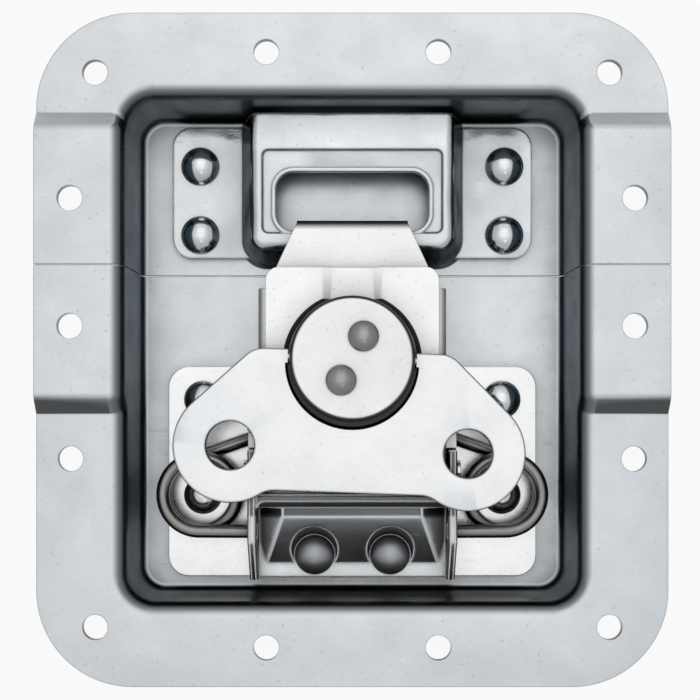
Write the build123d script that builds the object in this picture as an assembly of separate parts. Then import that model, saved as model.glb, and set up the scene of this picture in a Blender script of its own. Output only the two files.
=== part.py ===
from build123d import *
import math
import os

# Butterfly case latch: a sprung twist latch riveted into a recessed dish of two pressed halves.
# Units are millimetres. The origin is the centre of the dish outline on the back face of its flange;
# +Z points out of the case, +Y towards the lid, and the whole latch is centred on X = 0.

# dish
DISH_WIDTH = 105.0
DISH_LENGTH = 112.0
DISH_CORNER = 16.0
DISH_SHEET = 1.2
DISH_DEPTH = 14.0
FLOOR_WIDTH = 72.4
FLOOR_LENGTH = 81.0
FLOOR_CORNER = 3.2
FLOOR_BEND = 1.0
LIP_BEND = 2.6
WALL_DRAFT = 2.5
CRANK_LENGTH = 50.0
CRANK_CENTRE_Y = 14.4
CRANK_RISE = 1.9
CRANK_RUN = 2.6
CREASE_BEND = 0.6
CROWN_BEND = 3.0
SPLIT_Y = 13.95
SPLIT_GAP = 0.2
MOUNT_HOLE = 2.1
CORNER_HOLE_X = 42.75
CORNER_HOLE_Y = 46.1
END_HOLE_X = 14.3
END_HOLE_Y = 49.5
CRANK_HOLE_X = 46.55
CRANK_HOLE_UPPER_Y = 24.9
CRANK_HOLE_LOWER_Y = 3.83
SIDE_HOLE_X = 46.8
SIDE_HOLE_Y = -18.1

# riveted plates on the floor
PLATE_SHEET = 1.5
KEEPER_RIVET_X = 26.8
KEEPER_RIVET_UPPER_Y = 33.1
KEEPER_RIVET_LOWER_Y = 21.0
BASE_RIVET_X = 26.3
BASE_RIVET_UPPER_Y = -8.0
BASE_RIVET_LOWER_Y = -24.8
BRACKET_RIVET_X = 6.6
BRACKET_RIVET_Y = -35.2
RIVET_HEAD = 3.36
RIVET_RISE = 2.1
RIVET_LAND = 0.25
RIVET_SHANK = 1.55
RIVET_HOLE = 1.6
RIVET_TAIL = 2.6
RIVET_TAIL_HEIGHT = 1.0
BRACKET_RIVET_HEAD = 3.45

# keeper
KEEPER_RISE = 7.4
KEEPER_FLANGE_X = 31.7
KEEPER_FLANGE_LOWER_Y = 17.0
KEEPER_FLANGE_UPPER_Y = 40.05
KEEPER_FLANGE_CORNER = 3.4
KEEPER_TOP_X = 17.2
KEEPER_TOP_Y = 18.0
KEEPER_BACK_LEAN = 1.05
KEEPER_DRAFT = 21.0
KEEPER_CORNER = 5.0
KEEPER_EDGE = 1.7
PANEL_X = 15.7
PANEL_LOWER_Y = 20.3
PANEL_UPPER_Y = 35.07
PANEL_DEPTH = 0.6
PANEL_RUN = 0.5
PANEL_CORNER = 0.8
SLOT_X = 13.15
SLOT_LOWER_Y = 20.9
SLOT_UPPER_Y = 31.1
SLOT_CORNER = 3.0
SLOT_RIM = 0.8
SLOT_RIM_RISE = 0.35
SLOT_RIM_ROUND = 0.25

# base plate and bracket
BASE_WIDTH = 64.8
BASE_LENGTH = 36.9
BASE_MARGIN = 1.4
BASE_CORNER = 3.6
BRACKET_X = 17.8
BRACKET_BACK_Y = -39.4
BRACKET_FRONT_Y = -11.0
BRACKET_TOP_Z = -2.3
BRACKET_SHOULDER_Y = -32.4
BRACKET_BACK_TOP_Z = -7.6
BRACKET_NOSE = 2.0
BRACKET_EDGE = 0.6
RAMP_LIP_Y = -24.2
RAMP_CREST_Y = -25.4
RAMP_STEP_Y = -26.5
RAMP_STEP_DROP = 1.2
RAMP_BREAK_Y = -28.2
RAMP_BREAK_DROP = 1.5
RAMP_FOOT_Y = -36.6
RAMP_CORNER = 1.6
RIDGE_TOP_X = 11.9
EAVE_MARGIN = 0.1
RIDGE_ROUND = 1.2
POCKET_FLOOR = 3.6
POCKET_FLARE = 0.36
ARM_NOTCH_LOWER_Y = -16.75
ARM_NOTCH_UPPER_Y = -13.45
ARM_NOTCH_Z = -4.95
LEG_NOTCH_LOWER_Y = -17.0
LEG_NOTCH_UPPER_Y = -12.7
LEG_NOTCH_Z = -8.3

# hinge pin
PIN_Y = -20.4
PIN_Z = -4.6
PIN_RADIUS = 1.2
PIN_HEAD = 1.9
PIN_HEAD_WIDTH = 0.6
PIN_SEAT_CLEARANCE = 0.02
PIN_RUNNING_CLEARANCE = 0.07

# cover plate
COVER_X = 15.95
COVER_SHEET = 1.2
COVER_FLANGE_SHEET = 1.5
COVER_TOP_Z = -1.75
COVER_EMBOSS = 0.6
COVER_FLANGE_Z = -8.2
COVER_BEND = 1.7
COVER_BACK_Y = -23.0
COVER_TOP_BACK_Y = -20.0
COVER_NECK_Y = 10.64
COVER_FRONT_Y = 14.18
COVER_FRONT_X = 14.65
COVER_FRONT_CORNER = 2.2
COVER_ROUND = 2.6
DIAL_Y = -1.8
DIAL_TOP = 11.76
DIAL_BOTTOM = 11.0
CHANNEL_TOP_X = 5.05
CHANNEL_BOTTOM_X = 3.4
EAR_X = 17.7
EAR_LOWER_Y = -16.4
EAR_UPPER_Y = -13.8
EAR_TOP_Z = -3.1

# hook plate
HOOK_TOP_Z = -3.65
HOOK_X = 13.2
HOOK_SHOULDER_Y = 13.9
HOOK_NOSE_X = 9.5
HOOK_NOSE_Y = 21.9
HOOK_TIP_Y = 22.65
HOOK_TIP_BEND = 2.3
HOOK_LIP_Z = -8.6
HOOK_LIP_CORNER = 1.5
HOOK_WEB_X = 10.0
HOOK_WEB_Y = -14.2
HOOK_EAR_X = 10.4
HOOK_EAR_Y = -9.8
HOOK_EAR_Z = -10.8
HOOK_EAR_BEND = 1.8
TRAVEL = 6.0
LOBE_SIDE_CLEARANCE = 0.3
LOBE_END_CLEARANCE = 0.8

# cam and its washer
CAM_Y = -1.4
KEY_ANGLE = -2.05
CAM_HEAD = 9.3
CAM_HEAD_Z = -2.2
CAM_TOP_Z = 0.65
CAM_GROOVE = 0.8
CAM_JOURNAL = 8.3
JOURNAL_CLEARANCE = 0.08
CAM_LOBE = 5.5
CAM_LOBE_TOP_Z = -3.6
CAM_WASHER_TOP_Z = -5.35
CAM_SPIGOT = 2.2
CAM_STAKE = 3.0
CAM_STAKE_HEIGHT = 0.55
WASHER_RADIUS = 9.0
WASHER_SHEET = 1.2
WASHER_CLEARANCE = 0.05

# cap and its rivets
CAP_RADIUS = 10.5
CAP_SHEET = 1.0
CAP_SHOULDER = 0.85
CAP_SLOT = 0.9
CAP_RIVET_X = 1.72
CAP_RIVET_Y = 3.72
CAP_RIVET_HEAD = 2.55
CAP_RIVET_RISE = 1.4
CAP_RIVET_SHANK = 1.2
CAP_RIVET_DEPTH = 2.55

# butterfly key
KEY_SHEET = 1.5
KEY_MID_Z = -0.15
KEY_LOBE_X = 19.9
KEY_LOBE_Y = -15.2
KEY_LOBE = 9.6
KEY_FINGER_HOLE = 4.05
KEY_TOP_Y = 1.28
KEY_CORNER_X = 16.5
KEY_CORNER = 4.5
KEY_BOTTOM_Y = -22.5
KEY_FILLET = 4.5
KEY_CUT = 11.15
KEY_CUT_Y = -0.75
KEY_CUT_STEP_Y = -1.1
KEY_TAB_X = 10.7
KEY_TRUNNION = 0.75
KEY_TRUNNION_IN = 6.5
KEY_TRUNNION_OUT = 11.2
KEY_EDGE = 0.4

# springs
WIRE = 1.15
COIL_X = 26.3
COIL_Y = -24.4
COIL_MEAN = 6.3
COIL_PITCH = 2.45
COIL_START_ANGLE = 109.1
COIL_END_ANGLE = 630.0
COIL_START_Z = -9.05
LEG_TIP_X = 12.5
LEG_ANCHOR_X = 16.4
LEG_HOLE_CLEARANCE = 0.1

# levels that follow
FLOOR_Z = DISH_SHEET - DISH_DEPTH
FLOOR_BACK_Z = -DISH_DEPTH
PLATE_TOP_Z = FLOOR_Z + PLATE_SHEET
BASE_LOWER_Y = BASE_MARGIN - FLOOR_LENGTH / 2
KEEPER_TOP_Z = FLOOR_Z + KEEPER_RISE
COVER_LOW_Z = COVER_TOP_Z - COVER_EMBOSS
COVER_LOW_BACK_Z = COVER_LOW_Z - COVER_SHEET
HOOK_BACK_Z = HOOK_TOP_Z - PLATE_SHEET
CAP_TOP_Z = CAM_TOP_Z + CAP_SHEET
LOBE_THROW = TRAVEL / 2
LOBE_Y = CAM_Y - LOBE_THROW
COIL_LEAD = COIL_PITCH / (2 * math.pi * COIL_MEAN)
COIL_TURNS = (COIL_END_ANGLE - COIL_START_ANGLE) / 360
COIL_END_Z = COIL_START_Z + COIL_PITCH * COIL_TURNS
LEG_ANCHOR_Y = COIL_Y - COIL_MEAN
LEG_ANCHOR_Z = COIL_END_Z + COIL_LEAD * (COIL_X - BRACKET_X + PLATE_SHEET / 2)

KEEPER_RIVETS = [
    (side * KEEPER_RIVET_X, y)
    for y in (KEEPER_RIVET_UPPER_Y, KEEPER_RIVET_LOWER_Y)
    for side in (-1, 1)
]
BASE_RIVETS = [
    (side * BASE_RIVET_X, y)
    for y in (BASE_RIVET_UPPER_Y, BASE_RIVET_LOWER_Y)
    for side in (-1, 1)
]
BRACKET_RIVETS = [(side * BRACKET_RIVET_X, BRACKET_RIVET_Y) for side in (-1, 1)]


def slab(x0, x1, y0, y1, z0, z1):
    """A plain block between pairs of planes."""
    middle = Pos((x0 + x1) / 2, (y0 + y1) / 2, (z0 + z1) / 2)
    return middle * Box(x1 - x0, y1 - y0, z1 - z0)


def plate(face, z0, z1):
    """A flat outline in X and Y made solid between two levels."""
    return extrude(Pos(0, 0, z0) * face, amount=z1 - z0, dir=(0, 0, 1))


def across(points, half_width, radii=None):
    """A Y-Z outline made solid to both sides of X = 0; radii rounds corners by index."""
    face = Polygon(*points, align=None)
    for index, radius in (radii or {}).items():
        corner = Vector(*points[index])
        near = [v for v in face.vertices() if (Vector(v.X, v.Y) - corner).length < 1e-4]
        face = fillet(near, radius)
    return extrude(Plane.YZ * face, amount=half_width, both=True)


def drill(x, y, radius, z0, z1):
    """A round hole along Z."""
    return Pos(x, y, (z0 + z1) / 2) * Cylinder(radius, z1 - z0)


def both_sides(shape):
    """The shape and its mirror image about X = 0."""
    return shape + mirror(shape, about=Plane.YZ)


def single(shape):
    """The one solid of a finished piece."""
    solids = shape.solids()
    if len(solids) != 1:
        raise ValueError("piece is not one solid")
    return solids[0]


# ---------------------------------------------------------------- dish


def crank_line(level, shift, foot_bend, crown_bend):
    """Side view of one face of the flange: flat, up to the raised middle, and down again."""
    half = CRANK_LENGTH / 2
    low_foot = CRANK_CENTRE_Y - half + shift
    high_foot = CRANK_CENTRE_Y + half - shift
    points = [
        (-DISH_LENGTH, level),
        (low_foot, level),
        (low_foot + CRANK_RUN, level + CRANK_RISE),
        (high_foot - CRANK_RUN, level + CRANK_RISE),
        (high_foot, level),
        (DISH_LENGTH, level),
    ]
    return FilletPolyline(*points, radius=(foot_bend, crown_bend, crown_bend, foot_bend))


def recess(base_z, growth):
    """The drafted recess, grown outwards by a wall when it is the outer skin."""
    spread = 2 * (FLOOR_BEND + growth)
    corner = FLOOR_CORNER + FLOOR_BEND + growth
    floor = RectangleRounded(FLOOR_WIDTH + spread, FLOOR_LENGTH + spread, corner)
    return extrude(Pos(0, 0, base_z) * floor, amount=2 * DISH_DEPTH, taper=-WALL_DRAFT)


def rim(shape, base_z, growth, low, high):
    """Edges of a shape that lie on the recess skin between two levels."""
    half_x = FLOOR_WIDTH / 2 - FLOOR_CORNER
    half_y = FLOOR_LENGTH / 2 - FLOOR_CORNER
    corner = FLOOR_CORNER + FLOOR_BEND + growth
    found = []
    for edge in shape.edges():
        on_skin = True
        for step in range(5):
            p = edge @ (step / 4)
            spread = corner + (p.Z - base_z) * math.tan(math.radians(WALL_DRAFT))
            reach = math.hypot(max(abs(p.X) - half_x, 0), max(abs(p.Y) - half_y, 0))
            on_skin = on_skin and low <= p.Z <= high and abs(reach - spread) < 0.05
        if on_skin:
            found.append(edge)
    return found


def pressed_dish():
    """Both halves as one pressing: flange, raised side flanges, drafted wall and floor."""
    shift = DISH_SHEET * math.tan(math.atan2(CRANK_RISE, CRANK_RUN) / 2)
    front = crank_line(DISH_SHEET, 0, CREASE_BEND, CROWN_BEND)
    back = crank_line(0, shift, CREASE_BEND + DISH_SHEET, CROWN_BEND - DISH_SHEET)
    ends = [Line(front @ 0, back @ 0), Line(front @ 1, back @ 1)]
    section = make_face([*front.edges(), *back.edges(), *ends])
    below = [(DISH_LENGTH, -2 * DISH_DEPTH), (-DISH_LENGTH, -2 * DISH_DEPTH)]
    skirt = make_face([*front.edges(), *Polyline(front @ 1, *below, front @ 0).edges()])
    outline = RectangleRounded(DISH_WIDTH, DISH_LENGTH, DISH_CORNER)
    prism = plate(outline, -2 * DISH_DEPTH, 2 * DISH_DEPTH)
    flange = extrude(Plane.YZ * section, amount=DISH_WIDTH, both=True) & prism
    draft = math.radians(WALL_DRAFT)
    wall = DISH_SHEET / math.cos(draft) - DISH_SHEET * math.tan(draft)
    under_flange = extrude(Plane.YZ * skirt, amount=DISH_WIDTH, both=True)
    cup = recess(FLOOR_BACK_Z, wall) & under_flange
    dish = (flange + cup) - recess(FLOOR_Z, 0)
    low = 0.05
    high = DISH_SHEET + CRANK_RISE + low
    dish = dish.fillet(FLOOR_BEND, rim(dish, FLOOR_Z, 0, FLOOR_Z - low, FLOOR_Z + low))
    heel = rim(dish, FLOOR_BACK_Z, wall, FLOOR_BACK_Z - low, FLOOR_BACK_Z + low)
    dish = dish.fillet(FLOOR_BEND + DISH_SHEET, heel)
    dish = dish.fillet(LIP_BEND - DISH_SHEET, rim(dish, FLOOR_BACK_Z, wall, -low, CRANK_RISE + low))
    return dish.fillet(LIP_BEND, rim(dish, FLOOR_Z, 0, DISH_SHEET - low, high))


def flange_holes():
    """Centres of the screw and rivet holes around the flange."""
    spots = [(CORNER_HOLE_X, CORNER_HOLE_Y), (END_HOLE_X, END_HOLE_Y)]
    holes = [(i * x, j * y) for x, y in spots for i in (-1, 1) for j in (-1, 1)]
    for y in (CRANK_HOLE_UPPER_Y, CRANK_HOLE_LOWER_Y):
        holes += [(-CRANK_HOLE_X, y), (CRANK_HOLE_X, y)]
    return holes + [(-SIDE_HOLE_X, SIDE_HOLE_Y), (SIDE_HOLE_X, SIDE_HOLE_Y)]


def dish_halves():
    """The pressing drilled and parted across its middle."""
    dish = pressed_dish()
    for x, y in flange_holes():
        dish -= drill(x, y, MOUNT_HOLE, -DISH_SHEET, 2 * DISH_SHEET + CRANK_RISE)
    for x, y in KEEPER_RIVETS + BASE_RIVETS + BRACKET_RIVETS:
        dish -= drill(x, y, RIVET_HOLE, FLOOR_BACK_Z - DISH_SHEET, FLOOR_Z + DISH_SHEET)
    reach = DISH_LENGTH
    depth = 2 * DISH_DEPTH
    upper = slab(-reach, reach, SPLIT_Y + SPLIT_GAP / 2, reach, -depth, depth)
    lower = slab(-reach, reach, -reach, SPLIT_Y - SPLIT_GAP / 2, -depth, depth)
    return single(dish & upper), single(dish & lower)


# ---------------------------------------------------------------- rivets and plates


def dome(radius, rise, land, seat):
    """Side profile of a domed head, from its rim to its crown."""
    cap = rise - land
    sphere = (radius * radius + cap * cap) / (2 * cap)
    middle = seat + rise - sphere
    half = math.atan2(radius, sphere - cap) / 2
    quarter = (sphere * math.sin(half), middle + sphere * math.cos(half))
    return ThreePointArc((radius, seat + land), quarter, (0, seat + rise))


def turned(lines, x, y):
    """A closed half section turned about a vertical axis."""
    face = Plane.XZ * make_face([edge for line in lines for edge in line.edges()])
    return single(Pos(x, y, 0) * revolve(face, axis=Axis.Z))


def floor_rivet(x, y, seat, head):
    """A domed rivet through a plate and the dish floor, headed over underneath."""
    tail_z = FLOOR_BACK_Z - RIVET_TAIL_HEIGHT
    stem = Polyline(
        (0, seat + RIVET_RISE),
        (0, tail_z),
        (RIVET_TAIL, tail_z),
        (RIVET_TAIL, FLOOR_BACK_Z),
        (RIVET_SHANK, FLOOR_BACK_Z),
        (RIVET_SHANK, seat),
        (head, seat),
        (head, seat + RIVET_LAND),
    )
    return turned([stem, dome(head, RIVET_RISE, RIVET_LAND, seat)], x, y)


def cap_rivet(x, y):
    """A small domed rivet that holds the cap on the cam."""
    foot = CAP_TOP_Z - CAP_RIVET_DEPTH - CAP_SHEET
    stem = Polyline(
        (0, CAP_TOP_Z + CAP_RIVET_RISE),
        (0, foot),
        (CAP_RIVET_SHANK, foot),
        (CAP_RIVET_SHANK, CAP_TOP_Z),
        (CAP_RIVET_HEAD, CAP_TOP_Z),
        (CAP_RIVET_HEAD, CAP_TOP_Z + RIVET_LAND),
    )
    return turned([stem, dome(CAP_RIVET_HEAD, CAP_RIVET_RISE, RIVET_LAND, CAP_TOP_Z)], x, y)


def keeper():
    """The box-shaped keeper the hook drops into, with side flanges for four rivets."""
    lean = KEEPER_RISE * math.tan(math.radians(KEEPER_DRAFT))
    wall = PLATE_SHEET / math.cos(math.radians(KEEPER_DRAFT))
    run = KEEPER_FLANGE_UPPER_Y + KEEPER_RISE * 2

    def hood(inset, corner, height):
        front = KEEPER_TOP_Y - lean + inset
        width = 2 * (KEEPER_TOP_X + lean - inset)
        middle = Pos(0, (front + run) / 2, FLOOR_Z)
        return extrude(middle * RectangleRounded(width, run - front, corner), height, taper=KEEPER_DRAFT)

    outside = hood(0, KEEPER_CORNER, KEEPER_RISE)
    top = outside.faces().sort_by(Axis.Z)[-1]
    outside = outside.fillet(KEEPER_EDGE, top.edges())
    inside = hood(wall, KEEPER_CORNER - PLATE_SHEET, KEEPER_RISE - PLATE_SHEET)
    width = 2 * KEEPER_FLANGE_X
    length = KEEPER_FLANGE_UPPER_Y - KEEPER_FLANGE_LOWER_Y
    middle = Pos(0, (KEEPER_FLANGE_UPPER_Y + KEEPER_FLANGE_LOWER_Y) / 2)
    flange = plate(middle * RectangleRounded(width, length, KEEPER_FLANGE_CORNER), FLOOR_Z, PLATE_TOP_Z)
    back = KEEPER_FLANGE_UPPER_Y
    side = [(0, FLOOR_Z), (back, FLOOR_Z), (back + KEEPER_BACK_LEAN, KEEPER_TOP_Z), (0, KEEPER_TOP_Z)]
    body = (outside & across(side, KEEPER_FLANGE_X)) + flange
    body -= inside
    panel_middle = Pos(0, (PANEL_LOWER_Y + PANEL_UPPER_Y) / 2, KEEPER_TOP_Z - PANEL_DEPTH)
    panel_length = PANEL_UPPER_Y - PANEL_LOWER_Y - 2 * PANEL_RUN
    panel = RectangleRounded(2 * (PANEL_X - PANEL_RUN), panel_length, PANEL_CORNER)
    panel_slope = math.degrees(math.atan2(PANEL_RUN, PANEL_DEPTH))
    body -= extrude(panel_middle * panel, 2 * PANEL_DEPTH, taper=-panel_slope)
    slot_middle = Pos(0, (SLOT_LOWER_Y + SLOT_UPPER_Y) / 2)
    slot_length = SLOT_UPPER_Y - SLOT_LOWER_Y
    slot = RectangleRounded(2 * SLOT_X, slot_length, SLOT_CORNER)
    rim = RectangleRounded(2 * (SLOT_X + SLOT_RIM), slot_length + 2 * SLOT_RIM, SLOT_CORNER + SLOT_RIM)
    panel_z = KEEPER_TOP_Z - PANEL_DEPTH
    bead = plate(slot_middle * rim, panel_z - PANEL_DEPTH / 2, panel_z + SLOT_RIM_RISE)
    bead -= plate(slot_middle * slot, FLOOR_Z, 0)
    bead = bead.fillet(SLOT_RIM_ROUND, bead.faces().sort_by(Axis.Z)[-1].edges())
    body -= plate(slot_middle * slot, FLOOR_Z, 0)
    body += bead
    for x, y in KEEPER_RIVETS:
        body -= drill(x, y, RIVET_HOLE, FLOOR_Z - PLATE_SHEET, PLATE_TOP_Z + PLATE_SHEET)
    return single(body)


def base_plate():
    """The flat plate under the bracket."""
    middle = Pos(0, BASE_LOWER_Y + BASE_LENGTH / 2)
    body = plate(middle * RectangleRounded(BASE_WIDTH, BASE_LENGTH, BASE_CORNER), FLOOR_Z, PLATE_TOP_Z)
    for x, y in BASE_RIVETS + BRACKET_RIVETS:
        body -= drill(x, y, RIVET_HOLE, FLOOR_Z - PLATE_SHEET, PLATE_TOP_Z + PLATE_SHEET)
    return single(body)


# ---------------------------------------------------------------- bracket


def gable(y, ridge_x, ridge_z):
    """Cross section of the pillow-shaped ramp: a flat top with sides that fall to the walls."""
    inner = BRACKET_X - PLATE_SHEET
    eave = ridge_z - (inner - ridge_x)
    points = [
        (-inner, PLATE_TOP_Z),
        (inner, PLATE_TOP_Z),
        (inner, eave),
        (ridge_x, ridge_z),
        (-ridge_x, ridge_z),
        (-inner, eave),
    ]
    return Pos(0, y, 0) * (Plane.XZ * Polygon(*points, align=None))


def ramp_block():
    """Solid under the ramp: a pillow that falls to the flat, behind a crest that spans the walls."""
    inner = BRACKET_X - PLATE_SHEET
    foot_x = inner - PLATE_SHEET + EAVE_MARGIN
    high = gable(RAMP_BREAK_Y, RIDGE_TOP_X, BRACKET_TOP_Z - RAMP_BREAK_DROP)
    foot = gable(RAMP_FOOT_Y, foot_x, PLATE_TOP_Z + PLATE_SHEET)
    step = gable(RAMP_STEP_Y, RIDGE_TOP_X, BRACKET_TOP_Z - RAMP_STEP_DROP)
    pillow = loft([foot, high], ruled=True) + loft([high, step], ruled=True)
    ridges = [
        e
        for e in pillow.edges()
        if abs((e @ 0.5).X) < foot_x and (e @ 0.5).Z > PLATE_TOP_Z + 2 * PLATE_SHEET
        and RAMP_FOOT_Y + 1 < (e @ 0.5).Y < RAMP_STEP_Y - 0.1
    ]
    pillow = pillow.fillet(RIDGE_ROUND, ridges)
    side = [
        (RAMP_STEP_Y, PLATE_TOP_Z),
        (RAMP_LIP_Y, PLATE_TOP_Z),
        (RAMP_LIP_Y, BRACKET_TOP_Z),
        (RAMP_CREST_Y, BRACKET_TOP_Z),
        (RAMP_STEP_Y, BRACKET_TOP_Z - RAMP_STEP_DROP),
    ]
    middle = Pos(inner - RAMP_CORNER / 2, RAMP_CREST_Y - RAMP_CORNER / 2)
    web = middle * Rectangle(RAMP_CORNER, RAMP_CORNER)
    web -= Pos(inner - RAMP_CORNER, RAMP_CREST_Y - RAMP_CORNER) * Circle(RAMP_CORNER)
    return pillow + across(side, inner) + both_sides(plate(web, PLATE_TOP_Z, BRACKET_TOP_Z))


def pocket(x, wall):
    """The flared clearance pocket around a bracket rivet."""
    flat = PLATE_TOP_Z + PLATE_SHEET
    height = BRACKET_TOP_Z - flat
    low = POCKET_FLOOR + wall
    return Pos(x, BRACKET_RIVET_Y, flat + height / 2) * Cone(low, low + height * POCKET_FLARE, height)


def bracket_wall():
    """The side wall on the +X side, with its top edges rolled over."""
    profile = [
        (BRACKET_BACK_Y, PLATE_TOP_Z),
        (BRACKET_FRONT_Y, PLATE_TOP_Z),
        (BRACKET_FRONT_Y, BRACKET_TOP_Z),
        (BRACKET_SHOULDER_Y, BRACKET_TOP_Z),
        (BRACKET_BACK_Y, BRACKET_BACK_TOP_Z),
    ]
    wall = across(profile, PLATE_SHEET / 2, {2: BRACKET_NOSE})
    middle_z = (PLATE_TOP_Z + BRACKET_TOP_Z) / 2
    rolled = [
        e
        for e in wall.edges()
        if abs((e @ 0).X - (e @ 1).X) < 1e-6 and (e @ 0.5).Z > middle_z
    ]
    return Pos(BRACKET_X - PLATE_SHEET / 2, 0, 0) * wall.fillet(BRACKET_EDGE, rolled)


def bracket():
    """The bracket that carries the hinge pin: two side walls, a ramp and a riveted flat."""
    flat = PLATE_TOP_Z + PLATE_SHEET
    inner = BRACKET_X - PLATE_SHEET
    ramp = ramp_block()
    fall = math.atan2(BRACKET_TOP_Z - RAMP_BREAK_DROP - flat, RAMP_BREAK_Y - RAMP_FOOT_Y)
    hollow = Pos(0, 0, -PLATE_SHEET / math.cos(fall)) * ramp
    body = slab(-inner, inner, BRACKET_BACK_Y, RAMP_STEP_Y, PLATE_TOP_Z, flat) + ramp
    body -= hollow
    for side in (-1, 1):
        x = side * BRACKET_RIVET_X
        body += pocket(x, PLATE_SHEET) & ramp
        seat_floor = drill(x, BRACKET_RIVET_Y, POCKET_FLOOR + PLATE_SHEET, PLATE_TOP_Z, flat)
        body += seat_floor & slab(-inner, inner, BRACKET_BACK_Y, RAMP_STEP_Y, PLATE_TOP_Z, flat)
    for side in (-1, 1):
        body -= pocket(side * BRACKET_RIVET_X, 0)
    body += both_sides(bracket_wall())
    for x, y in BRACKET_RIVETS:
        body -= drill(x, y, RIVET_HOLE, FLOOR_Z, flat + 0.1)
    seat = PIN_RADIUS + PIN_SEAT_CLEARANCE
    body -= Pos(0, PIN_Y, PIN_Z) * Rot(0, 90, 0) * Cylinder(seat, 3 * BRACKET_X)
    eye = WIRE + LEG_HOLE_CLEARANCE
    for side in (-1, 1):
        anchor = Pos(side * (BRACKET_X - PLATE_SHEET / 2), LEG_ANCHOR_Y, LEG_ANCHOR_Z)
        body -= anchor * Rot(0, 90, 0) * Cylinder(eye, 2 * PLATE_SHEET)
    reach = 2 * BRACKET_X
    body -= slab(-reach, reach, ARM_NOTCH_LOWER_Y, ARM_NOTCH_UPPER_Y, ARM_NOTCH_Z, DISH_SHEET)
    body -= slab(-reach, reach, LEG_NOTCH_LOWER_Y, LEG_NOTCH_UPPER_Y, FLOOR_Z, LEG_NOTCH_Z)
    return single(body)


def hinge_pin():
    """The headed pin the cover plate swings on."""
    reach = BRACKET_X + PIN_SEAT_CLEARANCE
    axle = Cylinder(PIN_RADIUS, 2 * reach)
    for side in (-1, 1):
        axle += Pos(0, 0, side * (reach + PIN_HEAD_WIDTH / 2)) * Cylinder(PIN_HEAD, PIN_HEAD_WIDTH)
    return single(Pos(0, PIN_Y, PIN_Z) * Rot(0, 90, 0) * axle)


# ---------------------------------------------------------------- moving pieces


def cover_plate():
    """The swinging cover: an inverted channel with a sunk dial seat and a front lip."""
    inner = COVER_X - COVER_FLANGE_SHEET
    side = [
        (COVER_BACK_Y, COVER_FLANGE_Z),
        (COVER_NECK_Y, COVER_FLANGE_Z),
        (COVER_NECK_Y, COVER_TOP_Z),
        (COVER_BACK_Y, COVER_TOP_Z),
    ]
    channel = across(side, COVER_X, {0: COVER_ROUND, 3: COVER_ROUND})
    shoulder = [
        e
        for e in channel.edges()
        if (e @ 0.5).Z > COVER_TOP_Z - 0.01 and abs(abs((e @ 0.5).X) - COVER_X) < 1e-3
        and abs((e @ 0).Y - (e @ 1).Y) > 1
    ]
    channel = channel.fillet(COVER_BEND, shoulder)
    under = COVER_TOP_Z - COVER_SHEET
    reach = DISH_LENGTH
    channel -= slab(-inner, inner, -reach, reach, FLOOR_Z, under)
    channel -= slab(-inner, inner, -reach, COVER_TOP_BACK_Y, FLOOR_Z, DISH_SHEET)
    length = COVER_FRONT_Y - COVER_TOP_BACK_Y
    lip = Pos(0, (COVER_FRONT_Y + COVER_TOP_BACK_Y) / 2) * Rectangle(2 * COVER_FRONT_X, length)
    lip = fillet(lip.vertices().group_by(Axis.Y)[-1], COVER_FRONT_CORNER)
    body = channel + plate(lip, under, COVER_TOP_Z)
    below = DIAL_BOTTOM + COVER_SHEET
    rib = CHANNEL_BOTTOM_X + COVER_SHEET
    body += drill(0, DIAL_Y, below, COVER_LOW_BACK_Z, COVER_LOW_Z)
    body += slab(-rib, rib, DIAL_Y, COVER_FRONT_Y, COVER_LOW_BACK_Z, COVER_LOW_Z)
    sink = Pos(0, DIAL_Y, COVER_LOW_Z + COVER_EMBOSS / 2) * Cone(DIAL_BOTTOM, DIAL_TOP, COVER_EMBOSS)
    gutter = [
        (-CHANNEL_BOTTOM_X, COVER_LOW_Z),
        (CHANNEL_BOTTOM_X, COVER_LOW_Z),
        (CHANNEL_TOP_X, COVER_TOP_Z),
        (-CHANNEL_TOP_X, COVER_TOP_Z),
    ]
    groove = extrude(Plane.XZ * Polygon(*gutter, align=None), amount=-(COVER_FRONT_Y - DIAL_Y + 1))
    body -= sink
    body -= Pos(0, DIAL_Y, 0) * groove
    body -= drill(0, CAM_Y, CAM_JOURNAL + JOURNAL_CLEARANCE, COVER_LOW_BACK_Z - 1, COVER_TOP_Z + 1)
    ear = slab(inner, EAR_X, EAR_LOWER_Y, EAR_UPPER_Y, EAR_TOP_Z - COVER_FLANGE_SHEET, EAR_TOP_Z)
    body += both_sides(ear)
    bore = PIN_RADIUS + PIN_RUNNING_CLEARANCE
    body -= Pos(0, PIN_Y, PIN_Z) * Rot(0, 90, 0) * Cylinder(bore, 3 * COVER_X)
    return single(body)


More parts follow.
